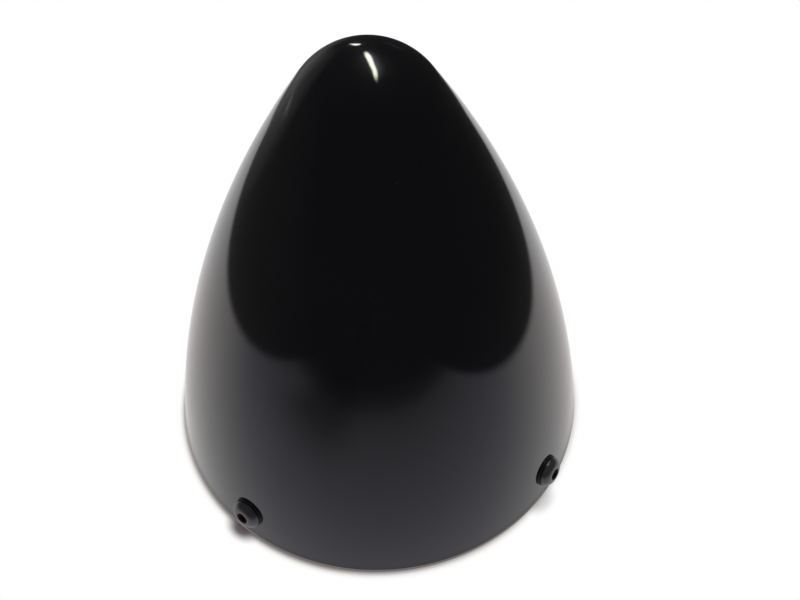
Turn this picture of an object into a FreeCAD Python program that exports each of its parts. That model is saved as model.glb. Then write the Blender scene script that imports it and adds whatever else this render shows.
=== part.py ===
import FreeCAD, Part
import math
import os
import Sketcher

# A propeller spinner as it is bolted to the front of a propeller hub: a painted dome, spun in one
# piece, pushed over the flange of a pressed backplate and held by four button-head screws, each in
# an anchor nut riveted inside the flange.
#
# Frame: the origin is the centre of the rim plane (the rear face of the backplate's lip) and +Z runs
# along the propeller axis to the nose. The screws lie on the X and Y axes. Lengths are millimetres,
# angles are degrees.

SIZES = [
    # dome
    ("outer_dia", 130.0, "outside diameter of the dome's rim and of the backplate's lip"),
    ("rim_lean", 8.2, "inward lean of the dome's wall at its rim"),
    ("side_radius", 325.0, "outside radius of the long arc of the dome's side"),
    ("nose_radius", 21.0, "outside radius of the nose"),
    ("dome_wall", 1.5, "thickness of the spun wall"),
    ("rim_ease", 0.8, "chamfer inside the dome's rim, clear of the backplate's bend"),
    ("nest_gap", 0.15, "clearance between the dome's inner face and the flange"),
    # backplate
    ("plate_thick", 1.5, "sheet thickness of the backplate"),
    ("web_height", 22.0, "rear face of the lip to the front face of the web"),
    ("web_bend", 2.0, "inside radius of the bend between flange and web"),
    ("lip_bend", 0.5, "inside radius of the bend between flange and lip"),
    ("pilot_dia", 25.0, "centre hole for the hub's pilot boss"),
    ("bolt_circle", 75.0, "pitch circle of the propeller bolts"),
    ("bolt_hole", 8.4, "clearance hole of a propeller bolt"),
    ("bolt_count", 6, "number of propeller bolts"),
    # dome screws
    ("screw_height", 12.2, "height of a screw's axis where it leaves the dome's wall"),
    ("screw_dia", 5.0, "thread of a dome screw"),
    ("screw_length", 12.0, "length of a dome screw under its head"),
    ("screw_point", 0.5, "chamfer at the screw's tip"),
    ("screw_hole", 5.5, "clearance hole of a dome screw in the dome and the flange"),
    ("head_dia", 9.5, "diameter of the button head"),
    ("head_height", 2.75, "height of the button head"),
    ("head_edge", 0.5, "height of the button head's straight edge"),
    ("head_flat", 4.6, "diameter of the flat on top of the button head"),
    ("hex_size", 3.0, "width of the hexagon socket across its flats"),
    ("hex_depth", 1.9, "depth of the hexagon socket"),
    # washers
    ("washer_dia", 10.0, "outside diameter of the washer"),
    ("washer_bore", 5.3, "bore of the washer"),
    ("washer_thick", 0.9, "thickness of the washer at its centre"),
    # anchor nuts
    ("anchor_base", 1.0, "sheet thickness of the anchor nut's base"),
    ("anchor_width", 10.0, "width of the anchor nut's base at its middle"),
    ("lug_width", 5.6, "width of the anchor nut's base round a rivet"),
    ("barrel_dia", 7.6, "outside diameter of the anchor nut's barrel"),
    ("barrel_height", 5.0, "height of the barrel with its base"),
    ("thread_gap", 0.05, "clearance round the screw in the anchor nut"),
    # rivets
    ("rivet_spacing", 17.5, "distance between the two rivets of an anchor nut"),
    ("rivet_dia", 2.4, "shank of a rivet"),
    ("rivet_head", 4.6, "diameter of a rivet's countersunk head"),
    ("sink_angle", 100.0, "included angle of a rivet's countersunk head"),
    ("tail_dia", 3.6, "diameter of the rivet's closed tail"),
    ("tail_height", 1.0, "height of the rivet's closed tail"),
    ("rivet_gap", 0.05, "clearance round a rivet and under its tail"),
]
SCREW_COUNT = 4
CUT_MARGIN = 1.2  # how far a cutting tool outreaches the piece that it cuts, as a factor

# Places that several pieces share, as expressions on the sheet. The dome's side is an arc about a
# centre below the rim plane and beyond the axis, so every line square to the wall passes through it.
ARC_X = "(Sizes.outer_dia / 2 - Sizes.side_radius * cos(Sizes.rim_lean))"
ARC_Z = "(Sizes.plate_thick - Sizes.side_radius * sin(Sizes.rim_lean))"
SCREW_LEAN = f"asin((Sizes.screw_height - {ARC_Z}) / Sizes.side_radius)"
FLANGE_OUTSIDE = "(Sizes.dome_wall + Sizes.nest_gap)"
FLANGE_INSIDE = "(Sizes.dome_wall + Sizes.nest_gap + Sizes.plate_thick)"
ANCHOR_INSIDE = f"({FLANGE_INSIDE} + Sizes.anchor_base)"
SINK_DEPTH = "((Sizes.rivet_head - Sizes.rivet_dia) / 2 / tan(Sizes.sink_angle / 2))"

doc = FreeCAD.newDocument("propeller_spinner")
sizes = doc.addObject("Spreadsheet::Sheet", "Sizes")
for row, (alias, size, note) in enumerate(SIZES, start=1):
    sizes.set(f"A{row}", alias)
    sizes.set(f"B{row}", str(size))
    sizes.set(f"C{row}", note)
    sizes.setAlias(f"B{row}", alias)
doc.recompute()


def number(expression):
    """The present value of an expression on the sheet."""
    result = sizes.evalExpression(expression)
    return float(getattr(result, "Value", result))


def wall_x(depth):
    """Distance from the propeller axis of the point `depth` inside the wall on a screw's axis."""
    return f"({ARC_X} + (Sizes.side_radius - {depth}) * cos({SCREW_LEAN}))"


def wall_z(depth):
    """Height of the point `depth` inside the wall on a screw's axis."""
    return f"({ARC_Z} + (Sizes.side_radius - {depth}) * sin({SCREW_LEAN}))"


RIVET_TURN = f"asin(Sizes.rivet_spacing / 2 / {wall_x(FLANGE_INSIDE)})"
RIVET_SIDES = (("left", f"-{RIVET_TURN}"), ("right", RIVET_TURN))


def wall_frame(depth, turn, tilt):
    """Placement at `depth` inside the wall at a screw's height, turned `turn` about the axis."""
    across = f"{wall_x(depth)} * cos({turn})"
    along = f"{wall_x(depth)} * sin({turn})"
    return f"placement(vector({across}; {along}; {wall_z(depth)}); {tilt})"


def facing_out(depth, turn="0 deg"):
    """Sketch frame lying in the wall: X round the dome, Y up the wall, normal outwards."""
    return wall_frame(depth, turn, f"rotation(90 deg + {turn}; 0 deg; 90 deg - {SCREW_LEAN})")


def square_to_wall(depth, turn="0 deg"):
    """Sketch frame that holds a screw's or a rivet's section: Y outwards through the wall."""
    return wall_frame(depth, turn, f"rotation({turn}; 90 deg - {SCREW_LEAN}; 90 deg)")


# ---------------------------------------------------------------- document helpers

def new_body(label):
    body = doc.addObject("PartDesign::Body", label)
    body.Label = label
    return body


def origin_item(body, role):
    return next(item for item in body.Origin.OriginFeatures if item.Role == role)


def new_sketch(body, name, plane, frame=None):
    sketch = body.newObject("Sketcher::SketchObject", name)
    sketch.AttachmentSupport = (origin_item(body, plane), [""])
    sketch.MapMode = "FlatFace"
    if frame:
        sketch.setExpression("AttachmentOffset", frame)
    return sketch


def section_sketch(body, name):
    """Sketch in the XZ plane: X is the distance from the propeller axis, Y the height."""
    return new_sketch(body, name, "XZ_Plane")


def bind(sketch, kind, elements, expression):
    """Add one dimension to a sketch and tie it to the sheet."""
    index = sketch.addConstraint(Sketcher.Constraint(kind, *elements, number(expression)))
    sketch.setExpression(f"Constraints[{index}]", expression)


def pin_point(sketch, edge, end, x=None, y=None):
    """Dimension an edge's end from the sketch's origin; "0" puts it on that axis."""
    for kind, place, axis in (("DistanceX", x, -2), ("DistanceY", y, -1)):
        if place == "0":
            sketch.addConstraint(Sketcher.Constraint("PointOnObject", edge, end, axis))
        elif place is not None:
            bind(sketch, kind, (-1, 1, edge, end), place)


def outline(sketch, corners):
    """Closed outline through corners whose X and Y are expressions, all its edges straight."""
    places = [(number(x), number(y)) for x, y in corners]
    edges = [line(sketch, start, end) for start, end in sides_of(places)]
    close_loop(sketch, edges)
    for edge, (x, y) in zip(edges, corners):
        pin_point(sketch, edge, 1, x, y)


def circle(sketch, dia, x="0", y="0"):
    centre = FreeCAD.Vector(number(x), number(y), 0)
    edge = sketch.addGeometry(Part.Circle(centre, FreeCAD.Vector(0, 0, 1), number(dia) / 2))
    pin_point(sketch, edge, 3, x, y)
    bind(sketch, "Diameter", (edge,), dia)


def side_arc(sketch, depth, low, high):
    """Arc `depth` inside the dome's outer side, from height `low` to height `high`."""
    centre = FreeCAD.Vector(number(ARC_X), number(ARC_Z), 0)
    radius = number(f"Sizes.side_radius - {depth}")
    ends = [math.asin((number(level) - centre.y) / radius) for level in (low, high)]
    whole = Part.Circle(centre, FreeCAD.Vector(0, 0, 1), radius)
    edge = sketch.addGeometry(Part.ArcOfCircle(whole, *ends))
    pin_point(sketch, edge, 3, ARC_X, ARC_Z)
    bind(sketch, "Radius", (edge,), f"Sizes.side_radius - {depth}")
    pin_point(sketch, edge, 1, y=low)
    pin_point(sketch, edge, 2, y=high)
    return edge


def arc_reach(depth, level):
    """Distance from the propeller axis, at a height, of the arc `depth` inside the dome's side."""
    return f"({ARC_X} + sqrt((Sizes.side_radius - {depth})^2 - ({level} - {ARC_Z})^2))"


def join(sketch, *ends):
    """Make edge ends meet, given as edge, end, edge, end."""
    sketch.addConstraint(Sketcher.Constraint("Coincident", *ends))


def line(sketch, start, end):
    return sketch.addGeometry(Part.LineSegment(FreeCAD.Vector(*start, 0), FreeCAD.Vector(*end, 0)))


def sides_of(places):
    """Start and end of each straight side of a closed outline."""
    return list(zip(places, places[1:] + places[:1]))


def close_loop(sketch, edges):
    """Join each edge's end to the start of the next, and the last to the first."""
    for edge, after in zip(edges, edges[1:] + edges[:1]):
        join(sketch, edge, 2, after, 1)


def band(sketch, outer_depth, inner_depth, low, high):
    """Section between two arcs of the side, cut level at its foot and its top."""
    outer = side_arc(sketch, outer_depth, low, high)
    inner = side_arc(sketch, inner_depth, low, high)
    for end, level in ((1, low), (2, high)):
        starts = (number(arc_reach(outer_depth, level)), number(level))
        stops = (number(arc_reach(inner_depth, level)), number(level))
        edge = line(sketch, starts, stops)
        join(sketch, edge, 1, outer, end)
        join(sketch, edge, 2, inner, end)


def turned(body, sketch, name, cut=False, angle=360.0):
    """Revolve a section about the sketch's Y axis, as material or as a cut."""
    feature = body.newObject("PartDesign::Groove" if cut else "PartDesign::Revolution", name)
    feature.Profile = sketch
    feature.ReferenceAxis = (sketch, ["V_Axis"])
    feature.Angle = angle
    feature.Midplane = angle < 360.0
    doc.recompute()
    return feature


def pad(body, sketch, name, length):
    """Raise a sketch along its normal."""
    feature = body.newObject("PartDesign::Pad", name)
    feature.Profile = sketch
    feature.setExpression("Length", length)
    doc.recompute()
    return feature


def pocket(body, sketch, name, depth):
    """Cut a sketch against its normal, and make sure that something was cut."""
    before = body.Shape.Volume
    feature = body.newObject("PartDesign::Pocket", name)
    feature.Profile = sketch
    feature.setExpression("Length", depth)
    doc.recompute()
    if not body.Shape.Volume < before:
        raise RuntimeError(f"{body.Label}: {name} cuts nothing")
    return feature


def polar(body, features, name, count):
    """Repeat features round the propeller axis."""
    pattern = body.newObject("PartDesign::PolarPattern", name)
    pattern.Originals = features
    pattern.Axis = (origin_item(body, "Z_Axis"), [""])
    pattern.Angle = 360
    pattern.setExpression("Occurrences", str(count))
    body.Tip = pattern
    doc.recompute()
    return pattern


def ring_names(feature, reach, height):
    """Names of the round edges about the propeller axis with this radius and height."""
    names = []
    for index, edge in enumerate(feature.Shape.Edges, start=1):
        curve = None if edge.Degenerated else edge.Curve
        if not isinstance(curve, Part.Circle) or math.hypot(curve.Center.x, curve.Center.y) > 0.001:
            continue
        if abs(curve.Radius - number(reach)) < 0.01 and abs(curve.Center.z - number(height)) < 0.01:
            names.append(f"Edge{index}")
    return names


def soften(body, base, name, kind, reach, height, size):
    """Fillet or chamfer one round edge of a turned body."""
    feature = body.newObject(f"PartDesign::{kind}", name)
    feature.Base = (base, ring_names(base, reach, height))
    feature.setExpression("Radius" if kind == "Fillet" else "Size", size)
    body.Tip = feature
    doc.recompute()
    return feature


# ---------------------------------------------------------------- dome

def dome_line(sketch, inset):
    """One skin of the dome, `inset` inside its outer face: side arc, nose arc, and where they stand."""
    centre_x = number(ARC_X)
    centre_z = number(ARC_Z)
    side_radius = number("Sizes.side_radius")
    nose_radius = number("Sizes.nose_radius")
    foot = number("Sizes.plate_thick")
    turn = math.acos(-centre_x / (side_radius - nose_radius))
    nose_z = centre_z + (side_radius - nose_radius) * math.sin(turn)
    normal = FreeCAD.Vector(0, 0, 1)
    side_circle = Part.Circle(FreeCAD.Vector(centre_x, centre_z, 0), normal, side_radius - inset)
    nose_circle = Part.Circle(FreeCAD.Vector(0, nose_z, 0), normal, nose_radius - inset)
    start = math.asin((foot - centre_z) / (side_radius - inset))
    side = sketch.addGeometry(Part.ArcOfCircle(side_circle, start, turn))
    nose = sketch.addGeometry(Part.ArcOfCircle(nose_circle, turn, math.pi / 2))
    sketch.addConstraint(Sketcher.Constraint("Tangent", side, 2, nose, 1))
    pin_point(sketch, nose, 2, x="0")
    rim_point = (centre_x + (side_radius - inset) * math.cos(start), foot)
    tip_point = (0, nose_z + nose_radius - inset)
    return side, nose, rim_point, tip_point


def make_dome():
    """Spun ogive: a long side arc that runs tangent into the round nose, with an even wall."""
    body = new_body("dome")
    sketch = section_sketch(body, "dome_section")
    side_out, nose_out, rim_out, tip_out = dome_line(sketch, 0.0)
    side_in, nose_in, rim_in, tip_in = dome_line(sketch, number("Sizes.dome_wall"))
    pin_point(sketch, side_out, 3, ARC_X, ARC_Z)
    pin_point(sketch, side_out, 1, y="Sizes.plate_thick")
    bind(sketch, "Radius", (side_out,), "Sizes.side_radius")
    bind(sketch, "Radius", (nose_out,), "Sizes.nose_radius")
    pin_point(sketch, nose_out, 3, x="0")
    join(sketch, side_in, 3, side_out, 3)
    join(sketch, nose_in, 3, nose_out, 3)
    bind(sketch, "Radius", (side_in,), "Sizes.side_radius - Sizes.dome_wall")
    rim = line(sketch, rim_out, rim_in)
    sketch.addConstraint(Sketcher.Constraint("Horizontal", rim))
    tip = line(sketch, tip_out, tip_in)
    join(sketch, rim, 1, side_out, 1)
    join(sketch, rim, 2, side_in, 1)
    join(sketch, tip, 1, nose_out, 2)
    join(sketch, tip, 2, nose_in, 2)
    shell = turned(body, sketch, "dome_shell")
    inner_rim = arc_reach("Sizes.dome_wall", "Sizes.plate_thick")
    soften(body, shell, "dome_rim_ease", "Chamfer", inner_rim, "Sizes.plate_thick", "Sizes.rim_ease")
    hole_sketch = new_sketch(body, "dome_screw_hole_sketch", "XY_Plane", facing_out("0"))
    circle(hole_sketch, "Sizes.screw_hole")
    hole = pocket(body, hole_sketch, "dome_screw_hole", f"{FLANGE_INSIDE} + Sizes.dome_wall")
    polar(body, [hole], "dome_screw_holes", SCREW_COUNT)
    return body


# ---------------------------------------------------------------- backplate

def make_backplate():
    """Pressed plate: a lip under the dome's rim, a flange that follows its wall, and a raised web."""
    body = new_body("backplate")
    top = "Sizes.web_height"
    under = "(Sizes.web_height - Sizes.plate_thick)"
    lip_top = "Sizes.plate_thick"
    sketch = section_sketch(body, "backplate_section")
    outer = side_arc(sketch, FLANGE_OUTSIDE, lip_top, top)
    inner = side_arc(sketch, FLANGE_INSIDE, "0", under)
    web_corners = [(arc_reach(FLANGE_OUTSIDE, top), top), ("Sizes.pilot_dia / 2", top),
                   ("Sizes.pilot_dia / 2", under), (arc_reach(FLANGE_INSIDE, under), under)]
    lip_corners = [(arc_reach(FLANGE_INSIDE, "0"), "0"), ("Sizes.outer_dia / 2", "0"),
                   ("Sizes.outer_dia / 2", lip_top), (arc_reach(FLANGE_OUTSIDE, lip_top), lip_top)]
    web = open_line(sketch, web_corners)
    lip = open_line(sketch, lip_corners)
    join(sketch, outer, 2, web[0], 1)
    join(sketch, web[-1], 2, inner, 2)
    join(sketch, inner, 1, lip[0], 1)
    join(sketch, lip[-1], 2, outer, 1)
    for upright, corners in ((web[1], web_corners), (lip[1], lip_corners)):
        pin_point(sketch, upright, 1, *corners[1])
        pin_point(sketch, upright, 2, *corners[2])
    base = turned(body, sketch, "backplate_pressing")
    base = soften(body, base, "web_bend_outside", "Fillet", arc_reach(FLANGE_OUTSIDE, top), top,
                  "Sizes.web_bend + Sizes.plate_thick")
    base = soften(body, base, "web_bend_inside", "Fillet", arc_reach(FLANGE_INSIDE, under), under,
                  "Sizes.web_bend")
    base = soften(body, base, "lip_bend_outside", "Fillet", arc_reach(FLANGE_INSIDE, "0"), "0",
                  "Sizes.lip_bend + Sizes.plate_thick")
    soften(body, base, "lip_bend_inside", "Fillet", arc_reach(FLANGE_OUTSIDE, lip_top), lip_top,
           "Sizes.lip_bend")

    web_top = "placement(vector(0; 0; Sizes.web_height); rotation(0; 0; 0))"
    bolt_sketch = new_sketch(body, "bolt_hole_sketch", "XY_Plane", web_top)
    circle(bolt_sketch, "Sizes.bolt_hole", x="Sizes.bolt_circle / 2")
    bolt_hole = pocket(body, bolt_sketch, "bolt_hole", "Sizes.plate_thick * 2")
    polar(body, [bolt_hole], "bolt_holes", "Sizes.bolt_count")

    screw_sketch = new_sketch(body, "flange_screw_hole_sketch", "XY_Plane", facing_out("0"))
    circle(screw_sketch, "Sizes.screw_hole")
    screw_hole = pocket(body, screw_sketch, "flange_screw_hole", f"{FLANGE_INSIDE} + Sizes.plate_thick")
    sinks = [rivet_sink(body, side, turn) for side, turn in RIVET_SIDES]
    polar(body, [screw_hole] + sinks, "screw_stations", SCREW_COUNT)
    return body


def open_line(sketch, corners):
    """Straight edges through corners whose X and Y are expressions, from the first to the last."""
    places = [(number(x), number(y)) for x, y in corners]
    edges = [line(sketch, start, end) for start, end in zip(places, places[1:])]
    for edge, after in zip(edges, edges[1:]):
        join(sketch, edge, 2, after, 1)
    return edges


def rivet_sink(body, side, turn):
    """Countersunk hole through the flange for one rivet, cut past both faces."""
    shank = "(Sizes.rivet_dia / 2 + Sizes.rivet_gap)"
    foot = f"(Sizes.plate_thick * 2 - {SINK_DEPTH})"
    mouth = "(Sizes.plate_thick * 2 + Sizes.nest_gap)"
    flare = f"({shank} + ({SINK_DEPTH} + Sizes.nest_gap) * tan(Sizes.sink_angle / 2))"
    frame = square_to_wall(f"({FLANGE_INSIDE} + Sizes.plate_thick)", turn)
    sketch = new_sketch(body, f"{side}_rivet_sink_sketch", "XY_Plane", frame)
    outline(sketch, [("0", "0"), (shank, "0"), (shank, foot), (flare, mouth), ("0", mouth)])
    return turned(body, sketch, f"{side}_rivet_sink", cut=True)


# ---------------------------------------------------------------- the four screw stations

def make_screw(label):
    """Button-head socket screw, drawn from its tip outwards square to the wall."""
    body = new_body(label)
    sketch = new_sketch(body, f"{label}_section", "XY_Plane",
                        square_to_wall("(Sizes.screw_length - Sizes.washer_thick)"))
    shank = "Sizes.screw_dia / 2"
    under_head = "Sizes.screw_length"
    edge_top = "(Sizes.screw_length + Sizes.head_edge)"
    head_top = "(Sizes.screw_length + Sizes.head_height)"
    corners = [("0", "0"), (f"{shank} - Sizes.screw_point", "0"), (shank, "Sizes.screw_point"),
               (shank, under_head), ("Sizes.head_dia / 2", under_head), ("Sizes.head_dia / 2", edge_top),
               ("Sizes.head_flat / 2", head_top), ("0", head_top)]
    places = [(number(x), number(y)) for x, y in corners]
    crown_foot = corners.index(("Sizes.head_dia / 2", edge_top))
    edges = [crown_arc(sketch, start, end) if i == crown_foot else line(sketch, start, end)
             for i, (start, end) in enumerate(sides_of(places))]
    close_loop(sketch, edges)
    for edge, (x, y) in zip(edges, corners):
        pin_point(sketch, edge, 1, x, y)
    turned(body, sketch, f"{label}_turning")
    socket_sketch = new_sketch(body, f"{label}_socket_sketch", "XY_Plane",
                               facing_out("(0 - Sizes.washer_thick - Sizes.head_height)"))
    hexagon(socket_sketch, "Sizes.hex_size")
    pocket(body, socket_sketch, f"{label}_socket", "Sizes.hex_depth")
    return body


def crown_arc(sketch, start, end):
    """Arc of a button head's crown between two points, its centre on the screw's axis."""
    rise = end[1] - start[1]
    drop = (start[0] ** 2 - end[0] ** 2 - rise ** 2) / (2 * rise)
    centre = FreeCAD.Vector(0, start[1] - drop, 0)
    radius = math.hypot(start[0], drop)
    angles = [math.atan2(y - centre.y, x) for x, y in (start, end)]
    circle_edge = Part.Circle(centre, FreeCAD.Vector(0, 0, 1), radius)
    edge = sketch.addGeometry(Part.ArcOfCircle(circle_edge, *angles))
    sketch.addConstraint(Sketcher.Constraint("PointOnObject", edge, 3, -2))
    return edge


def hexagon(sketch, across_flats):
    """Regular hexagon about the sketch's origin, a corner on its X axis."""
    across_corners = f"{across_flats} / cos(30)"
    radius = number(across_corners) / 2
    guide_circle = Part.Circle(FreeCAD.Vector(), FreeCAD.Vector(0, 0, 1), radius)
    guide = sketch.addGeometry(guide_circle, True)
    join(sketch, guide, 3, -1, 1)
    bind(sketch, "Diameter", (guide,), across_corners)
    turns = [math.radians(60 * i) for i in range(6)]
    corners = [(radius * math.cos(turn), radius * math.sin(turn)) for turn in turns]
    sides = [line(sketch, start, end) for start, end in sides_of(corners)]
    close_loop(sketch, sides)
    for side in sides:
        sketch.addConstraint(Sketcher.Constraint("PointOnObject", side, 1, guide))
    for side in sides[1:]:
        sketch.addConstraint(Sketcher.Constraint("Equal", sides[0], side))
    sketch.addConstraint(Sketcher.Constraint("PointOnObject", sides[0], 1, -1))


def make_washer(label):
    """Nylon washer under a screw's head, its rear face taking up the curve of the dome."""
    body = new_body(label)
    bedding = "(Sizes.washer_dia^2 / Sizes.outer_dia / 2)"
    low, high = reach_past("Sizes.washer_dia")
    sketch = new_sketch(body, f"{label}_sketch", "XY_Plane", facing_out(bedding))
    circle(sketch, "Sizes.washer_dia")
    circle(sketch, "Sizes.washer_bore")
    pad(body, sketch, f"{label}_ring", f"Sizes.washer_thick + {bedding}")
    seat_sketch = section_sketch(body, f"{label}_seat_sketch")
    band(seat_sketch, "0", "Sizes.washer_dia", low, high)
    turned(body, seat_sketch, f"{label}_seat", cut=True)
    return body


def make_anchor_nut(label):
    """Two-lug anchor nut: a base curved to the flange, with a threaded barrel standing inwards."""
    body = new_body(label)
    low, high = reach_past("Sizes.anchor_width")
    strip_sketch = section_sketch(body, f"{label}_strip_sketch")
    band(strip_sketch, FLANGE_INSIDE, ANCHOR_INSIDE, low, high)
    turned(body, strip_sketch, f"{label}_strip", angle=90.0)
    blank_sketch = new_sketch(body, f"{label}_blank_sketch", "XY_Plane", facing_out("0"))
    lug_outline(blank_sketch)
    pocket(body, blank_sketch, f"{label}_blank", "Sizes.outer_dia / 2")
    barrel_depth = f"({FLANGE_INSIDE} + Sizes.barrel_height)"
    barrel_sketch = new_sketch(body, f"{label}_barrel_sketch", "XY_Plane", facing_out(barrel_depth))
    circle(barrel_sketch, "Sizes.barrel_dia")
    pad(body, barrel_sketch, f"{label}_barrel", "Sizes.barrel_height - Sizes.anchor_base / 2")
    bore_sketch = new_sketch(body, f"{label}_bore_sketch", "XY_Plane", facing_out("0"))
    circle(bore_sketch, "Sizes.screw_dia + Sizes.thread_gap * 2")
    pocket(body, bore_sketch, f"{label}_bore", f"{barrel_depth} + Sizes.anchor_base")
    for side, turn in RIVET_SIDES:
        rivet_sketch = new_sketch(body, f"{label}_{side}_rivet_sketch", "XY_Plane", facing_out("0", turn))
        circle(rivet_sketch, "Sizes.rivet_dia + Sizes.rivet_gap * 2")
        pocket(body, rivet_sketch, f"{label}_{side}_rivet_hole", f"{ANCHOR_INSIDE} + Sizes.anchor_base")
    return body


def reach_past(width):
    """Heights below and above a piece of this width that stands at a screw's height, clear of it."""
    margin = f"({width} * {CUT_MARGIN} / 2)"
    return f"(Sizes.screw_height - {margin})", f"(Sizes.screw_height + {margin})"


def lug_outline(sketch):
    """All of a wide rectangle except the anchor nut's base: a round middle running out to two lugs."""
    blank_rectangle(sketch, "Sizes.outer_dia", "Sizes.anchor_width * 2")
    middle = number("Sizes.anchor_width / 2")
    lug = number("Sizes.lug_width / 2")
    apart = number("Sizes.rivet_spacing / 2")
    slope = math.asin((middle - lug) / apart)
    quarter = math.pi / 2
    top = arc_about(sketch, 0, middle, quarter - slope, quarter + slope)
    bottom = arc_about(sketch, 0, middle, 3 * quarter - slope, 3 * quarter + slope)
    right = arc_about(sketch, apart, lug, slope - quarter, quarter - slope)
    left = arc_about(sketch, -apart, lug, quarter + slope, 3 * quarter - slope)
    # each straight flank touches the middle and a lug: (side of X, side of Y, arcs and their ends)
    flanks = [(1, 1, (top, 1), (right, 2)), (-1, 1, (top, 2), (left, 1)),
              (-1, -1, (bottom, 1), (left, 2)), (1, -1, (bottom, 2), (right, 1))]
    for side_x, side_y, middle_end, lug_end in flanks:
        start = (side_x * middle * math.sin(slope), side_y * middle * math.cos(slope))
        end = (side_x * (apart + lug * math.sin(slope)), side_y * lug * math.cos(slope))
        flank = line(sketch, start, end)
        sketch.addConstraint(Sketcher.Constraint("Tangent", flank, 1, *middle_end))
        sketch.addConstraint(Sketcher.Constraint("Tangent", flank, 2, *lug_end))
    for arc in (top, bottom):
        join(sketch, arc, 3, -1, 1)
        bind(sketch, "Radius", (arc,), "Sizes.anchor_width / 2")
    for arc, place in ((right, "Sizes.rivet_spacing / 2"), (left, "0 - Sizes.rivet_spacing / 2")):
        pin_point(sketch, arc, 3, place, "0")
        bind(sketch, "Radius", (arc,), "Sizes.lug_width / 2")


def arc_about(sketch, x, radius, start, end):
    """Arc about a point of the sketch's X axis."""
    whole = Part.Circle(FreeCAD.Vector(x, 0, 0), FreeCAD.Vector(0, 0, 1), radius)
    return sketch.addGeometry(Part.ArcOfCircle(whole, start, end))


def blank_rectangle(sketch, half_width, half_height):
    """Rectangle about the sketch's origin."""
    x = number(half_width)
    y = number(half_height)
    sides = [line(sketch, start, end) for start, end in sides_of([(-x, -y), (x, -y), (x, y), (-x, y)])]
    close_loop(sketch, sides)
    for side, kind in zip(sides, ("Horizontal", "Vertical", "Horizontal", "Vertical")):
        sketch.addConstraint(Sketcher.Constraint(kind, side))
    sketch.addConstraint(Sketcher.Constraint("Symmetric", sides[0], 1, sides[1], 2, -1, 1))
    bind(sketch, "DistanceX", (sides[0], 1, sides[0], 2), f"{half_width} * 2")
    bind(sketch, "DistanceY", (sides[1], 1, sides[1], 2), f"{half_height} * 2")


def make_rivet(label, turn):
    """Solid rivet: countersunk head flush in the flange, tail closed on the anchor nut's lug."""
    body = new_body(label)
    grip = f"({ANCHOR_INSIDE} + Sizes.rivet_gap + Sizes.tail_height)"
    sketch = new_sketch(body, f"{label}_section", "XY_Plane", square_to_wall(grip, turn))
    tail = "Sizes.tail_dia / 2"
    shank = "Sizes.rivet_dia / 2"
    head = "Sizes.rivet_head / 2"
    head_top = f"({grip} - {FLANGE_OUTSIDE})"
    outline(sketch, [("0", "0"), (tail, "0"), (tail, "Sizes.tail_height"), (shank, "Sizes.tail_height"),
                     (shank, f"({head_top} - {SINK_DEPTH})"), (head, head_top), ("0", head_top)])
    turned(body, sketch, f"{label}_turning")
    return body


def make_stations():
    """Screw, washer, anchor nut and two rivets at each of the four places round the rim."""
    bodies = []
    for station in range(SCREW_COUNT):
        mark = station + 1
        pieces = [
            make_screw(f"dome_screw_{mark}"),
            make_washer(f"screw_washer_{mark}"),
            make_anchor_nut(f"anchor_nut_{mark}"),
            make_rivet(f"anchor_rivet_{mark}_left", f"-{RIVET_TURN}"),
            make_rivet(f"anchor_rivet_{mark}_right", RIVET_TURN),
        ]
        turn = FreeCAD.Rotation(station * 360 / SCREW_COUNT, 0, 0)
        for piece in pieces:
            piece.Placement = FreeCAD.Placement(FreeCAD.Vector(), turn)
        bodies += pieces
    return bodies


# ---------------------------------------------------------------- build, test and write

pieces = [make_dome(), make_backplate()] + make_stations()
doc.recompute()

for item in doc.Objects:
    if {"Invalid", "Error"} & set(item.State):
        raise RuntimeError(f"{item.Label} did not recompute: {item.State}")
for piece in pieces:
    if piece.Shape.isNull() or not piece.Shape.isValid() or len(piece.Shape.Solids) != 1:
        raise RuntimeError(f"{piece.Label} is not one valid solid")

os.makedirs("parts", exist_ok=True)
for piece in pieces:
    piece.Shape.exportStep(f"parts/{piece.Label}.step")
    print(f"{piece.Label:24s} {piece.Shape.Volume:10.2f} mm3")
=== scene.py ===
import math

import bmesh
import bpy
from mathutils import Matrix, Vector


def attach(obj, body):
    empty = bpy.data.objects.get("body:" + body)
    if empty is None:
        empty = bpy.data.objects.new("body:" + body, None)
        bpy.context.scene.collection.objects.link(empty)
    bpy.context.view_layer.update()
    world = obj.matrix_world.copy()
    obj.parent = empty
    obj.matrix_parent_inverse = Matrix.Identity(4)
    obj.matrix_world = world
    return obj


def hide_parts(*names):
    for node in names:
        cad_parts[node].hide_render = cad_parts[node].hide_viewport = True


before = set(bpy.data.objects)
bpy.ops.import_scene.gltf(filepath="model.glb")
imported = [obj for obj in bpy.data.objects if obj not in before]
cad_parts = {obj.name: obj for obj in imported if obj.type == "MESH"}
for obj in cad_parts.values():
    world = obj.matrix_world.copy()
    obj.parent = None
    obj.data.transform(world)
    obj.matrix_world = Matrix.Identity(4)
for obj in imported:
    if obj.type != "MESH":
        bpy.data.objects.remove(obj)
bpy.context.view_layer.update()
scene = bpy.context.scene

# A propeller spinner standing on its rim: a gloss black dome over a bare aluminium backplate, held by
# four black button-head screws on nylon washers. Lengths are written in millimetres and become metres
# through mm(). The propeller axis is Z and the screws lie on the X and Y axes.


def mm(length):
    return length / 1000


# ---------------------------------------------------------------- sizes of the part, as in the source

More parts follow.
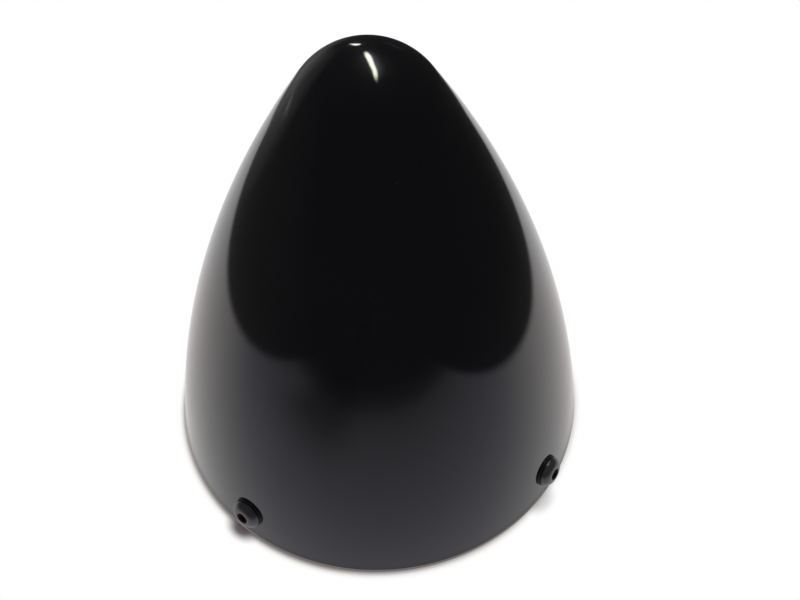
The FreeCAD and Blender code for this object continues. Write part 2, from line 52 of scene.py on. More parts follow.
RIM_RADIUS = 65.0
RIM_LEAN = math.radians(8.2)
SIDE_RADIUS = 325.0
NOSE_RADIUS = 21.0
WALL = 1.5
PLATE = 1.5
RIM_EASE = 0.8
SCREW_HEIGHT = 12.2
SCREW_DIA = 5.0
SCREW_LENGTH = 12.0
SCREW_POINT = 0.5
THREAD_PITCH = 0.8
HEAD_DIA = 9.5
HEAD_HEIGHT = 2.75
HEAD_EDGE = 0.5
HEAD_FLAT = 4.6
HEX_SIZE = 3.0
HEX_DEPTH = 1.9
HEX_MOUTH = 3.9
THREAD_DEPTH = 0.613 * THREAD_PITCH
THREAD_STEP = THREAD_PITCH / 10
WASHER_DIA = 10.0
WASHER_BORE = 5.3
WASHER_THICK = 0.9
DOME_SEGMENTS = 360
SCREW_SEGMENTS = 72

ARC_X = RIM_RADIUS - SIDE_RADIUS * math.cos(RIM_LEAN)
ARC_Z = PLATE - SIDE_RADIUS * math.sin(RIM_LEAN)
NOSE_TURN = math.acos(-ARC_X / (SIDE_RADIUS - NOSE_RADIUS))
NOSE_Z = ARC_Z + (SIDE_RADIUS - NOSE_RADIUS) * math.sin(NOSE_TURN)
SCREW_LEAN = math.asin((SCREW_HEIGHT - ARC_Z) / SIDE_RADIUS)
STATIONS = [1, 2, 3, 4]


def station_frame(station):
    """Matrix, in millimetres, of a screw station: Z runs out through the wall, Y up the wall."""
    out = Vector((math.cos(SCREW_LEAN), 0, math.sin(SCREW_LEAN)))
    up = Vector((-math.sin(SCREW_LEAN), 0, math.cos(SCREW_LEAN)))
    side = up.cross(out)
    place = Vector((ARC_X + SIDE_RADIUS * out.x, 0, ARC_Z + SIDE_RADIUS * out.z))
    axes = Matrix((side, up, out)).transposed().to_4x4()
    turn = Matrix.Rotation(math.radians(90 * (station - 1)), 4, "Z")
    return turn @ Matrix.Translation(place) @ axes


# ---------------------------------------------------------------- materials

def linear(hex_colour):
    """An sRGB hex colour as linear RGBA."""
    parts = [int(hex_colour[i:i + 2], 16) / 255 for i in (1, 3, 5)]
    return tuple(c / 12.92 if c <= 0.04045 else ((c + 0.055) / 1.055) ** 2.4 for c in parts) + (1.0,)


def add(tree, kind, inputs=None, **settings):
    """Add a node: settings are its own properties, inputs its sockets' values or what feeds them."""
    node = tree.nodes.new("ShaderNode" + kind)
    for name, value in settings.items():
        if name == "stops":
            ramp = node.color_ramp.elements
            while len(ramp) < len(value):
                ramp.new(0.5)
            for stop, (place, colour) in zip(ramp, value):
                stop.position = place
                stop.color = colour
        else:
            setattr(node, name, value)
    for socket, value in (inputs or {}).items():
        if isinstance(value, bpy.types.NodeSocket):
            tree.links.new(value, node.inputs[socket])
        else:
            node.inputs[socket].default_value = value
    return node


def new_material(name):
    """A material with an empty node tree and its output node."""
    material = bpy.data.materials.new(name)
    material.use_nodes = True
    tree = material.node_tree
    tree.nodes.clear()
    return material, tree, tree.nodes.new("ShaderNodeOutputMaterial")


def per_mm(size):
    """Texture scale at which one cell of a pattern is `size` millimetres."""
    return 1000 / size


def gloss_black_paint():
    """Two-pack gloss enamel, sprayed over a spun and polished shell: a mirror-like skin with the
    faintest orange peel and a few pale specks of dust under it, over a near-black that leans to blue.
    The pigment below the clear skin adds a faint wide haze round bright lamps."""
    material, tree, output = new_material("gloss_black_two_pack_enamel_sprayed")
    place = add(tree, "TexCoord").outputs["Object"]
    peel = add(tree, "TexNoise", {"Vector": place, "Scale": per_mm(2.2), "Detail": 1.0})
    dust = add(tree, "TexVoronoi", {"Vector": place, "Scale": per_mm(8.0)})
    speck = add(tree, "MapRange", {"Value": dust.outputs["Distance"], "From Min": 0.0, "From Max": 0.03,
                                   "To Min": 1.0, "To Max": 0.0})
    peel_bump = add(tree, "Bump", {"Height": peel.outputs["Fac"], "Strength": 0.02, "Distance": mm(0.02)})
    bump = add(tree, "Bump", {"Height": speck.outputs["Result"], "Strength": 0.15, "Distance": mm(0.02),
                              "Normal": peel_bump.outputs["Normal"]})
    cloud = add(tree, "TexNoise", {"Vector": place, "Scale": per_mm(30.0), "Detail": 3.0})
    roughness = add(tree, "MapRange", {"Value": cloud.outputs["Fac"], "From Min": 0.3, "From Max": 0.7,
                                       "To Min": 0.28, "To Max": 0.36})
    colour = add(tree, "ValToRGB", {"Fac": cloud.outputs["Fac"]},
                 stops=[(0.3, linear("#0d0d10")), (0.7, linear("#101013"))])
    tone = add(tree, "MixRGB", {"Fac": speck.outputs["Result"], "Color1": colour.outputs["Color"],
                                "Color2": linear("#3d3c39")})
    skin = add(tree, "BsdfPrincipled", {"Base Color": tone.outputs["Color"], "IOR": 1.5,
                                        "Specular IOR Level": 0.02, "Roughness": roughness.outputs["Result"],
                                        "Coat Weight": 1.0, "Coat IOR": 1.5, "Coat Roughness": 0.06,
                                        "Normal": bump.outputs["Normal"],
                                        "Coat Normal": bump.outputs["Normal"]})
    tree.links.new(skin.outputs["BSDF"], output.inputs["Surface"])
    return material


def bare_aluminium():
    """Half-hard aluminium sheet, pressed and left bare: a soft grey metal with the fine straight
    grain of the rolling mill and light handling marks. Its sheared edge is duller and darker."""
    material, tree, output = new_material("bare_aluminium_sheet_rolled_and_pressed")
    place = add(tree, "TexCoord").outputs["Object"]
    stretched = add(tree, "Mapping", {"Vector": place, "Scale": (1.0, 0.03, 1.0)})
    grain = add(tree, "TexNoise", {"Vector": stretched.outputs["Vector"], "Scale": per_mm(0.5),
                                   "Detail": 3.0})
    marks = add(tree, "TexNoise", {"Vector": place, "Scale": per_mm(8.0), "Detail": 4.0})
    roughness = add(tree, "MapRange", {"Value": marks.outputs["Fac"], "From Min": 0.3, "From Max": 0.7,
                                       "To Min": 0.32, "To Max": 0.46})
    colour = add(tree, "ValToRGB", {"Fac": grain.outputs["Fac"]},
                 stops=[(0.3, linear("#b9b6b0")), (0.7, linear("#cfccc6"))])
    bump = add(tree, "Bump", {"Height": grain.outputs["Fac"], "Strength": 0.25, "Distance": mm(0.02)})
    spot = add(tree, "SeparateXYZ", {"Vector": place})
    level = add(tree, "CombineXYZ", {"X": spot.outputs["X"], "Y": spot.outputs["Y"]})
    reach = add(tree, "VectorMath", {0: level.outputs["Vector"]}, operation="LENGTH")
    edge = add(tree, "MapRange", {"Value": reach.outputs["Value"], "From Min": mm(RIM_RADIUS - 0.3),
                                  "From Max": mm(RIM_RADIUS - 0.1)})
    tone = add(tree, "MixRGB", {"Fac": edge.outputs["Result"], "Color1": colour.outputs["Color"],
                                "Color2": linear("#abaaa1")})
    finish = add(tree, "MapRange", {"Value": edge.outputs["Result"], "To Min": roughness.outputs["Result"],
                                    "To Max": 0.45})
    metal = add(tree, "BsdfPrincipled", {"Base Color": tone.outputs["Color"], "Metallic": 1.0,
                                         "Roughness": finish.outputs["Result"],
                                         "Normal": bump.outputs["Normal"]})
    tree.links.new(metal.outputs["BSDF"], output.inputs["Surface"])
    return material


def satin_finish(name, dark, light, roughness_low, roughness_high, mark_size,
                 metallic=1.0, ior=1.5, relief=0.15):
    """A small satin piece: its tone and sheen drift a little over its surface, in marks of this size
    in millimetres."""
    material, tree, output = new_material(name)
    place = add(tree, "TexCoord").outputs["Object"]
    marks = add(tree, "TexNoise", {"Vector": place, "Scale": per_mm(mark_size), "Detail": 3.0})
    roughness = add(tree, "MapRange", {"Value": marks.outputs["Fac"], "From Min": 0.3, "From Max": 0.7,
                                       "To Min": roughness_low, "To Max": roughness_high})
    colour = add(tree, "ValToRGB", {"Fac": marks.outputs["Fac"]},
                 stops=[(0.3, linear(dark)), (0.7, linear(light))])
    bump = add(tree, "Bump", {"Height": marks.outputs["Fac"], "Strength": relief, "Distance": mm(0.02)})
    skin = add(tree, "BsdfPrincipled", {"Base Color": colour.outputs["Color"], "Metallic": metallic,
                                        "IOR": ior, "Roughness": roughness.outputs["Result"],
                                        "Normal": bump.outputs["Normal"]})
    tree.links.new(skin.outputs["BSDF"], output.inputs["Surface"])
    return material


def black_nylon():
    """Moulded nylon 66: a soft even black with the dull sheen of a fine mould texture."""
    material, tree, output = new_material("black_nylon_66_moulded")
    place = add(tree, "TexCoord").outputs["Object"]
    grain = add(tree, "TexNoise", {"Vector": place, "Scale": per_mm(0.25), "Detail": 2.0})
    colour = add(tree, "ValToRGB", {"Fac": grain.outputs["Fac"]},
                 stops=[(0.3, linear("#0d0d0e")), (0.7, linear("#121213"))])
    bump = add(tree, "Bump", {"Height": grain.outputs["Fac"], "Strength": 0.2, "Distance": mm(0.02)})
    skin = add(tree, "BsdfPrincipled", {"Base Color": colour.outputs["Color"], "IOR": 1.53,
                                        "Roughness": 0.5, "Specular IOR Level": 0.25,
                                        "Normal": bump.outputs["Normal"]})
    tree.links.new(skin.outputs["BSDF"], output.inputs["Surface"])
    return material


PAINT = gloss_black_paint()
ALUMINIUM = bare_aluminium()
NYLON = black_nylon()
# Heat-treated alloy steel, blackened in hot oxide and oiled. What the eye meets is the layer of
# magnetite, dark grey and dense, so it is shaded as that oxide: more matt than metal, with a satin gleam.
BLACK_OXIDE = satin_finish("black_oxide_steel_tumbled", "#272829", "#2d2e2f", 0.3, 0.34, mark_size=2.5,
                           metallic=0.0, ior=1.8, relief=0.02)
# The same oxide made duller and almost black on the turned edge of the head and in its socket: this is
# painted shade there, not a different finish of the steel.
OXIDE_PAINTED_SHADE = satin_finish("black_oxide_steel_painted_shade", "#0b0b0c", "#101011", 0.5, 0.6, mark_size=0.3,
                          metallic=0.0, ior=1.35, relief=0.05)
# Zinc-plated mild steel with a clear passivate: bluish silver.
ZINC = satin_finish("zinc_plated_steel_clear_passivated", "#8d9296", "#a5a9ad", 0.3, 0.42, mark_size=1.5)
# Soft aluminium rivet, set with a squeezer: pale grey, brighter than the sheet.
RIVET = satin_finish("aluminium_rivet_squeezed", "#b4b3b0", "#d2d1ce", 0.25, 0.4, mark_size=1.0)


# ---------------------------------------------------------------- pieces

def finish_piece(name, bm, material, node, place=None, sharp=30.0):
    """Turn a bmesh in millimetres into a smooth piece that stands for a node of the part."""
    bm.transform(Matrix.Scale(mm(1), 4) @ (place or Matrix()))
    bmesh.ops.recalc_face_normals(bm, faces=bm.faces)
    mesh = bpy.data.meshes.new(name)
    bm.to_mesh(mesh)
    bm.free()
    mesh.materials.append(material)
    piece = bpy.data.objects.new(name, mesh)
    scene.collection.objects.link(piece)
    mesh.shade_smooth()
    mesh.set_sharp_from_angle(angle=math.radians(sharp))
    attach(piece, "root")
    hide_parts(node)
    return piece


def skin_rings(bm, rings, closed=False):
    """Join rings of vertices, all of one length or single points, into a surface."""
    pairs = list(zip(rings, rings[1:]))
    if closed:
        pairs.append((rings[-1], rings[0]))
    for low, high in pairs:
        count = max(len(low), len(high))
        for i in range(count if count > 1 else 0):
            j = (i + 1) % count
            corners = []
            for corner in (low[i % len(low)], low[j % len(low)], high[j % len(high)], high[i % len(high)]):
                if corner not in corners:
                    corners.append(corner)
            bm.faces.new(corners)


def ring(bm, radius, height, segments=SCREW_SEGMENTS):
    """Ring of vertices about Z. The radius is a number or a function of the angle, the height a number
    or a function of x and y."""
    if radius == 0:
        return [bm.verts.new((0, 0, height))]
    points = []
    for i in range(segments):
        angle = 2 * math.pi * i / segments
        reach = radius(angle) if callable(radius) else radius
        x, y = reach * math.cos(angle), reach * math.sin(angle)
        points.append(bm.verts.new((x, y, height(x, y) if callable(height) else height)))
    return points


def arc(centre, radius, start, stop, steps):
    """Points of an arc, both ends among them, as (radius from the axis, height)."""
    angles = [start + (stop - start) * i / steps for i in range(steps + 1)]
    return [(centre[0] + radius * math.cos(a), centre[1] + radius * math.sin(a)) for a in angles]


def wall_line(depth, side_steps, nose_steps):
    """The dome's profile `depth` inside its outer face, from the rim plane to the axis."""
    start = math.asin((PLATE - ARC_Z) / (SIDE_RADIUS - depth))
    side = arc((ARC_X, ARC_Z), SIDE_RADIUS - depth, start, NOSE_TURN, side_steps)
    nose = arc((0, NOSE_Z), NOSE_RADIUS - depth, NOSE_TURN, math.pi / 2, nose_steps)
    return side + nose[1:-1] + [(0, nose[-1][1])]


def make_dome():
    """Spun shell. Its foot is eased outside, and chamfered inside where it drops over the backplate."""
    outside = wall_line(0.0, 90, 44)
    inside = wall_line(WALL, 50, 24)
    foot = outside[0][0]
    line = [(foot - 0.25, PLATE), (foot - 0.07, PLATE + 0.07), (foot, PLATE + 0.25)] + outside[1:]
    line += [point for point in reversed(inside) if point[1] > PLATE + RIM_EASE]
    line += [(inside[0][0] - 0.1, PLATE + RIM_EASE), (inside[0][0] + RIM_EASE, PLATE)]
    bm = bmesh.new()
    skin_rings(bm, [ring(bm, radius, height, DOME_SEGMENTS) for radius, height in line], closed=True)
    finish_piece("dome_shell", bm, PAINT, "dome")


def wall_under(x, y):
    """Height of the dome's outer face below a point of a station's frame, in millimetres."""
    z = 0.0
    for _ in range(8):
        spot = WALL_FRAME @ Vector((x, y, z))
        z -= math.hypot(math.hypot(spot.x, spot.y) - ARC_X, spot.z - ARC_Z) - SIDE_RADIUS
    return z


def hexagon(angle):
    """Distance from a hexagon's centre to its side, a corner lying at angle 0."""
    return HEX_SIZE / 2 / math.cos((angle % math.radians(60)) - math.radians(30))


def thread(height, angle):
    """Radius of the screw's ISO metric thread at this height and angle."""
    from_crest = abs(2 * ((height / THREAD_PITCH - angle / (2 * math.pi)) % 1.0) - 1.0)
    return SCREW_DIA / 2 - THREAD_DEPTH * min(max((from_crest - 0.125) / 0.625, 0.0), 1.0)


def make_screw(station):
    """Button-head socket screw with a rolled thread, a countersunk hexagon and softened edges. The
    edge of the head and the socket carry painted shade: the same oxide, darker and duller."""
    bearing, top, tip = WASHER_THICK, WASHER_THICK + HEAD_HEIGHT, WASHER_THICK - SCREW_LENGTH
    rim, edge, flat = HEAD_DIA / 2, WASHER_THICK + HEAD_EDGE, HEAD_FLAT / 2
    crown = [(flat + (rim - flat) * math.cos(a) ** 1.1, edge + (top - edge) * math.sin(a) ** 1.1)
             for a in (math.radians(5 * i) for i in range(19))]
    root = SCREW_DIA / 2 - THREAD_DEPTH
    bm = bmesh.new()
    rings = [ring(bm, 0, tip), ring(bm, root - SCREW_POINT, tip)]
    for step in range(1, int((SCREW_LENGTH - 1.0) / THREAD_STEP)):
        rise = THREAD_STEP * step
        point = root + rise - 0.2
        rings.append(ring(bm, lambda angle: min(thread(tip + rise, angle), point), tip + rise))
    line = [(SCREW_DIA / 2, bearing - 0.9), (SCREW_DIA / 2, bearing), (rim - 0.15, bearing),
            (rim, bearing + 0.12)] + crown
    line += [(flat - 0.06, top), (HEX_MOUTH / 2 + 0.05, top), (HEX_MOUTH / 2, top - 0.05)]
    rings += [ring(bm, radius, height) for radius, height in line]
    mouth = top - 0.05
    rings.append(ring(bm, hexagon, lambda x, y: mouth - 1.2 * (HEX_MOUTH / 2 - math.hypot(x, y))))
    rings.append(ring(bm, hexagon, top - HEX_DEPTH))
    rings += [ring(bm, HEX_SIZE / 2 - 0.1, top - HEX_DEPTH), ring(bm, 0, top - HEX_DEPTH - 0.4)]
    skin_rings(bm, rings)
    # faces on the head's edge and in its socket get the darker oxide as painted shade
    for face in bm.faces:
        spans = [math.hypot(v.co.x, v.co.y) for v in face.verts]
        heights = [v.co.z for v in face.verts]
        on_edge = min(spans) > rim - 0.2 and max(heights) < edge + 0.25
        in_socket = max(spans) < flat - 0.2 and bearing < max(heights) < top - 0.05
        if on_edge or in_socket:
            face.material_index = 1
    piece = finish_piece(f"button_head_screw_{station}", bm, BLACK_OXIDE,
                         f"dome_screw_{station}", station_frame(station))
    piece.data.materials.append(OXIDE_PAINTED_SHADE)
    return piece


def make_washer(station):
    """Moulded washer with rounded edges, its rear face lying on the curve of the dome."""
    bore, rim, top = WASHER_BORE / 2, WASHER_DIA / 2, WASHER_THICK
    bm = bmesh.new()
    rear = ((bore + 0.1, 0.0), (rim - 0.2, 0.0), (rim - 0.09, 0.05), (rim - 0.04, 0.15))
    rings = [ring(bm, radius, lambda x, y: wall_under(x, y) + lift) for radius, lift in rear]
    rings += [ring(bm, radius, height) for radius, height in (
        (rim - 0.05, 0.4), (rim - 0.1, 0.6), (rim - 0.18, 0.75), (rim - 0.26, top - 0.05), (rim - 0.4, top),
        (bore + 0.1, top), (bore, top - 0.1))]
    rings.append(ring(bm, bore, lambda x, y: wall_under(x, y) + 0.1))
    skin_rings(bm, rings, closed=True)
    return finish_piece(f"nylon_washer_{station}", bm, NYLON, f"screw_washer_{station}",
                        station_frame(station), sharp=40.0)


def dress(node, material):
    """Give a solid of the part its material as it is."""
    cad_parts[node].data.materials.clear()
    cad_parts[node].data.materials.append(material)


WALL_FRAME = station_frame(1)
make_dome()
dress("backplate", ALUMINIUM)
for station in STATIONS:
    # The paint is meant to show no double of a screw and its washer, so mirrored rays pass them by.
    make_screw(station).visible_glossy = False
    make_washer(station).visible_glossy = False
    dress(f"anchor_nut_{station}", ZINC)
    dress(f"anchor_rivet_{station}_left", RIVET)
    dress(f"anchor_rivet_{station}_right", RIVET)


# ---------------------------------------------------------------- camera

STUDIO_TURN = math.radians(37.05)
camera = bpy.data.objects.new("camera", bpy.data.cameras.new("camera"))
scene.collection.objects.link(camera)
camera.data.lens = 44.96
camera.matrix_world = (Matrix.Translation((0.11822, -0.14466, 0.28287)) @ Matrix.Rotation(STUDIO_TURN, 4, "Z")
                       @ Matrix.Rotation(math.radians(90 - 51.512), 4, "X")
                       @ Matrix.Rotation(math.radians(-0.822), 4, "Z"))
scene.camera = camera
scene.view_settings.view_transform = "Standard"


# ---------------------------------------------------------------- studio

# The studio's X is the camera's right and its Y points away from the camera.
# The white card as the paint mirrors it: (place from front to back in rim radii, brightness, coolness).
CARD_LIGHT = [(-5.0, 0.03, 1), (-4.6, 0.052, 1), (-4.2, 0.08, 1), (-3.8, 0.14, 1), (-3.4, 0.25, 1),
              (-3.0, 0.32, 1), (-2.6, 0.37, 1), (-2.2, 0.415, 1), (-1.8, 0.46, 1), (-1.4, 0.51, 1),
              (-1.0, 0.59, 0.8), (-0.6, 0.745, 0), (-0.2, 0.81, -0.8), (0.6, 0.80, -0.8), (1.4, 0.78, 0),
              (3.4, 0.74, 0)]
# Its left and right edges: (which, place at the front, place at the back, softness), in rim radii.
CARD_SIDES = [("SUBTRACT", -3.3, -3.0, 0.22), ("ADD", -2.82, -2.19, 0.16)]
# Its back edge lies between these two places, in rim radii.
CARD_END = (3.1, 3.4)
# A soft shadow across its front left: the shadow's middle, where it is full and where it ends to either
# side of that, where it is full and where it ends towards the back, all in rim radii, and its depth.
CARD_SHADE_MIDDLE = -1.45
CARD_SHADE_ASIDE = (0.25, 1.25)
CARD_SHADE_BACK = (-2.9, -1.3)
CARD_SHADE_DEPTH = 0.54
# Shadow of a screw head on the table: the distance of its middle from the axis, in millimetres, its
# angle from the screw, where it is full and where it ends, in millimetres from its middle, how much it
# is squashed outwards, and its depth.
HEAD_SHADOW_REACH = RIM_RADIUS + 0.9
HEAD_SHADOW_ASIDE = math.radians(2.9)
HEAD_SHADOW_FULL = 1.4
HEAD_SHADOW_END = 7.0
HEAD_SHADOW_SQUASH = 1.6
HEAD_SHADOW_DEPTH = 0.95
# Pale patches of the room's walls: (azimuth, elevation, brightness, where it is full, where it ends), the
# angles in degrees.
ROOM_LIGHT = [(-136, 4, 0.14, 7, 30), (-145, -4, 0.09, 4, 18), (165, 60, 0.05, 4, 26),
              (-95, -20, 0.03, 20, 60), (-156, -16, 0.12, 4, 20)]
ROOM_DARK = 0.025
# Radius of the table top, of the room and of the lamps round the nose, in metres.
TABLE_REACH = 4.0
ROOM_REACH = 3.0
LAMP_REACH = 1.6
LAMP_CENTRE = Vector((0, 0, mm(130)))
# Brightness across a lamp, from edge to edge.
EVEN = ((-1, 1), (1, 1))
TUBE = ((-1, 0.02), (-0.65, 0.5), (-0.4, 1), (0.4, 1), (0.65, 0.5), (1, 0.02))
SOFT = ((-1, 0), (-0.6, 0.1), (-0.3, 0.5), (0, 1), (0.3, 0.5), (0.6, 0.1), (1, 0))


def stage_object(name, bm, material):
    """Turn a bmesh in studio metres into a piece of the stage."""
    mesh = bpy.data.meshes.new(name)
    bm.to_mesh(mesh)
    bm.free()
    mesh.materials.append(material)
    thing = bpy.data.objects.new(name, mesh)
    thing.rotation_euler.z = STUDIO_TURN
    scene.collection.objects.link(thing)
    return thing


def toward(azimuth, elevation):
    """Direction in the studio: azimuth 0 is towards the camera, 90 to its right, 180 away from it."""
    a, e = math.radians(azimuth), math.radians(elevation)
    return Vector((math.sin(a) * math.cos(e), -math.cos(a) * math.cos(e), math.sin(e)))


def tint(brightness, coolness=0.0):
    """A grey of this brightness: cool violet at coolness 1, neutral at 0 and rosy at -1."""
    red, green, blue = (0.02, -0.03, 0.10) if coolness > 0 else (-0.06, 0.0, 0.01)
    return (brightness * (1 + red * coolness), brightness * (1 + green * coolness),
            brightness * (1 + blue * coolness), 1.0)


def seen_or_mirrored(tree):
    """1 for rays that come from the eye, a mirror or glass, and 0 for those that only carry light."""
    light = add(tree, "LightPath")
    share = light.outputs["Is Camera Ray"]
    for kind in ("Is Glossy Ray", "Is Transmission Ray"):
        share = add(tree, "Math", {0: share, 1: light.outputs[kind]}, operation="MAXIMUM").outputs["Value"]
    return share


def card_outline(tree, x, y):
    """1 on the mirrored card and 0 beyond it. Its long edges run a little together to the back."""
    inside = add(tree, "MapRange", {"Value": y, "From Min": CARD_END[0], "From Max": CARD_END[1],
                                    "To Min": 1.0, "To Max": 0.0},
                 interpolation_type="SMOOTHSTEP").outputs["Result"]
    for side, front, back, softness in CARD_SIDES:
        edge = add(tree, "MapRange", {"Value": y, "From Min": -3.0, "From Max": 2.5, "To Min": front,
                                      "To Max": back}, clamp=False)
        beyond = add(tree, "Math", {0: x, 1: edge.outputs["Result"]}, operation=side)
        facing = 1.0 if side == "SUBTRACT" else -1.0
        fade = add(tree, "MapRange", {"Value": beyond.outputs["Value"], "From Min": -softness * facing,
                                      "From Max": softness * facing}, interpolation_type="SMOOTHSTEP")
        inside = add(tree, "Math", {0: inside, 1: fade.outputs["Result"]},
                     operation="MULTIPLY").outputs["Value"]
    return inside


def card_glow(tree, x, y, rim_shade):
    """The mirrored card: lit from behind so that it dims towards the front, dark beside the rim, and
    with a soft shadow across its front left."""
    front, back = CARD_LIGHT[0][0], CARD_LIGHT[-1][0]
    along = add(tree, "MapRange", {"Value": y, "From Min": front, "From Max": back})
    dimming = add(tree, "ValToRGB", {"Fac": along.outputs["Result"]}, stops=[
        ((reach - front) / (back - front), tint(brightness, coolness))
        for reach, brightness, coolness in CARD_LIGHT])
    by_rim = add(tree, "MixRGB", {"Fac": 0.6, "Color1": dimming.outputs["Color"], "Color2": rim_shade},
                 blend_type="MULTIPLY")

    aside = add(tree, "Math", {0: x, 1: CARD_SHADE_MIDDLE}, operation="SUBTRACT")
    across = add(tree, "Math", {0: aside.outputs["Value"]}, operation="ABSOLUTE")
    shade_x = add(tree, "MapRange", {"Value": across.outputs["Value"], "From Min": CARD_SHADE_ASIDE[0],
                                     "From Max": CARD_SHADE_ASIDE[1], "To Min": 1.0, "To Max": 0.0},
                  interpolation_type="SMOOTHSTEP")
    shade_y = add(tree, "MapRange", {"Value": y, "From Min": CARD_SHADE_BACK[0],
                                     "From Max": CARD_SHADE_BACK[1], "To Min": CARD_SHADE_DEPTH,
                                     "To Max": 0.0}, interpolation_type="SMOOTHSTEP")
    shade = add(tree, "Math", {0: shade_x.outputs["Result"], 1: shade_y.outputs["Result"]},
                operation="MULTIPLY")
    clear = add(tree, "Math", {0: 1.0, 1: shade.outputs["Value"]}, operation="SUBTRACT")
    return add(tree, "Emission", {"Color": by_rim.outputs["Color"], "Strength": clear.outputs["Value"]})


def head_shadow(tree, x, y, reach):
    """Strength of a soft round shadow on the table below the head of each screw."""
    angle = add(tree, "Math", {0: y, 1: x}, operation="ARCTAN2")
    turned = add(tree, "Math", {0: angle.outputs["Value"], 1: STUDIO_TURN + HEAD_SHADOW_ASIDE})
    around = add(tree, "Math", {0: turned.outputs["Value"], 1: -math.pi / 4, 2: math.pi / 4},
                 operation="WRAP")
    outward = add(tree, "MapRange", {"Value": reach, "From Min": HEAD_SHADOW_REACH / RIM_RADIUS,
                                     "From Max": (HEAD_SHADOW_REACH + 1) / RIM_RADIUS,
                                     "To Max": HEAD_SHADOW_SQUASH / RIM_RADIUS}, clamp=False)
    offset = add(tree, "CombineXYZ", {"X": around.outputs["Value"], "Y": outward.outputs["Result"]})
    away = add(tree, "VectorMath", {0: offset.outputs["Vector"]}, operation="LENGTH")
    return add(tree, "MapRange", {"Value": away.outputs["Value"], "From Min": HEAD_SHADOW_FULL / RIM_RADIUS,
                                  "From Max": HEAD_SHADOW_END / RIM_RADIUS, "To Min": HEAD_SHADOW_DEPTH,
                                  "To Max": 0.0}, interpolation_type="SMOOTHSTEP").outputs["Result"]


def white_table():
    """Matt white table top. To the eye it is plain white with the part's contact shadows. In a mirror
    it is a sheet of white card with the unlit room beyond its edges."""
    material, tree, output = new_material("white_card_matt")
    place = add(tree, "TexCoord").outputs["Object"]
    scaled = add(tree, "VectorMath", {0: place, "Scale": 1 / mm(RIM_RADIUS)}, operation="SCALE")
    reach = add(tree, "VectorMath", {0: scaled.outputs["Vector"]}, operation="LENGTH").outputs["Value"]
    spot = add(tree, "SeparateXYZ", {"Vector": scaled.outputs["Vector"]})
    x, y = spot.outputs["X"], spot.outputs["Y"]

    # the light falls a little from the right, so shadows are deepest at the front left
    across = add(tree, "MapRange", {"Value": x, "From Min": -1.0, "From Max": 1.0})
    lee = add(tree, "ValToRGB", {"Fac": across.outputs["Result"]}, stops=[
        (0.0, tint(1.1)), (0.2, tint(1.45)), (0.4, tint(1.3)), (0.5, tint(1.05)), (0.75, tint(0.7)),
        (0.9, tint(0.36))]).outputs["Color"]

    # a narrow contact shadow along the rim, warmed in its middle tones
    crack = add(tree, "AmbientOcclusion", {"Distance": mm(3.5)}, samples=16)
    rim_shade = add(tree, "ValToRGB", {"Fac": crack.outputs["AO"]}, stops=[
        (0.44, tint(0.21)), (0.63, tint(0.4)), (0.77, tint(0.85)), (0.91, tint(1.0))]).outputs["Color"]
    depth = add(tree, "Math", {0: rim_shade, 1: lee}, operation="POWER").outputs["Value"]
    rim_shadow = add(tree, "ValToRGB", {"Fac": depth}, stops=[
        (0.0, (0.014, 0.0, 0.0, 1)), (0.3, (0.32, 0.3, 0.285, 1)), (0.7, (0.715, 0.7, 0.688, 1)),
        (1.0, tint(1.0))])

    full = add(tree, "Math", {0: lee, 1: 1.0}, operation="MINIMUM").outputs["Value"]
    below_head = add(tree, "Math", {0: head_shadow(tree, x, y, reach), 1: full}, operation="MULTIPLY")
    shadow = add(tree, "MixRGB", {"Fac": below_head.outputs["Value"], "Color1": rim_shadow.outputs["Color"],
                                  "Color2": linear("#50464a")})

    nothing = add(tree, "BsdfTransparent").outputs["BSDF"]
    card = card_glow(tree, x, y, rim_shade)
    mirrored = add(tree, "MixShader", {0: card_outline(tree, x, y), 1: nothing, 2: card.outputs["Emission"]})
    direct = add(tree, "Emission", {"Color": shadow.outputs["Color"]})
    to_eye = add(tree, "LightPath").outputs["Is Camera Ray"]
    seen = add(tree, "MixShader", {0: to_eye, 1: mirrored.outputs["Shader"], 2: direct.outputs["Emission"]})
    matt = add(tree, "BsdfDiffuse", {"Color": linear("#d9d9d9")})
    top = add(tree, "MixShader", {0: seen_or_mirrored(tree), 1: matt.outputs["BSDF"],
                                  2: seen.outputs["Shader"]})
    # the table is open from beneath, so that the under side of the part can be looked at
    beneath = add(tree, "NewGeometry").outputs["Backfacing"]
    both = add(tree, "MixShader", {0: beneath, 1: top.outputs["Shader"], 2: nothing})
    tree.links.new(both.outputs["Shader"], output.inputs["Surface"])

    bm = bmesh.new()
    bmesh.ops.create_circle(bm, cap_ends=True, radius=TABLE_REACH, segments=96)
    stage_object("white_table", bm, material)


def dark_room():
    """Shell of an unlit room, seen only in mirrors: near black, with dim pale patches on its walls and a
    little light spilling round the ceiling tube."""
    material, tree, output = new_material("unlit_room_painted_walls")
    place = add(tree, "TexCoord").outputs["Object"]
    way = add(tree, "VectorMath", {0: place}, operation="NORMALIZE").outputs["Vector"]
    total = ROOM_DARK
    for azimuth, elevation, strength, full, end in ROOM_LIGHT:
        aim = add(tree, "VectorMath", {0: way, 1: toward(azimuth, elevation)}, operation="DOT_PRODUCT")
        patch = add(tree, "MapRange", {"Value": aim.outputs["Value"],
                                       "From Min": math.cos(math.radians(end)),
                                       "From Max": math.cos(math.radians(full)), "To Max": strength},
                    interpolation_type="SMOOTHSTEP")
        total = add(tree, "Math", {0: total, 1: patch.outputs["Result"]}).outputs["Value"]
    glow = add(tree, "Emission", {"Color": linear("#fbfbfa"), "Strength": total})
    tree.links.new(glow.outputs["Emission"], output.inputs["Surface"])
    bm = bmesh.new()
    bmesh.ops.create_uvsphere(bm, u_segments=64, v_segments=32, radius=ROOM_REACH)
    room = stage_object("dark_room", bm, material)
    room.visible_camera = False
    room.visible_diffuse = False
    room.visible_shadow = False
    room.visible_transmission = False


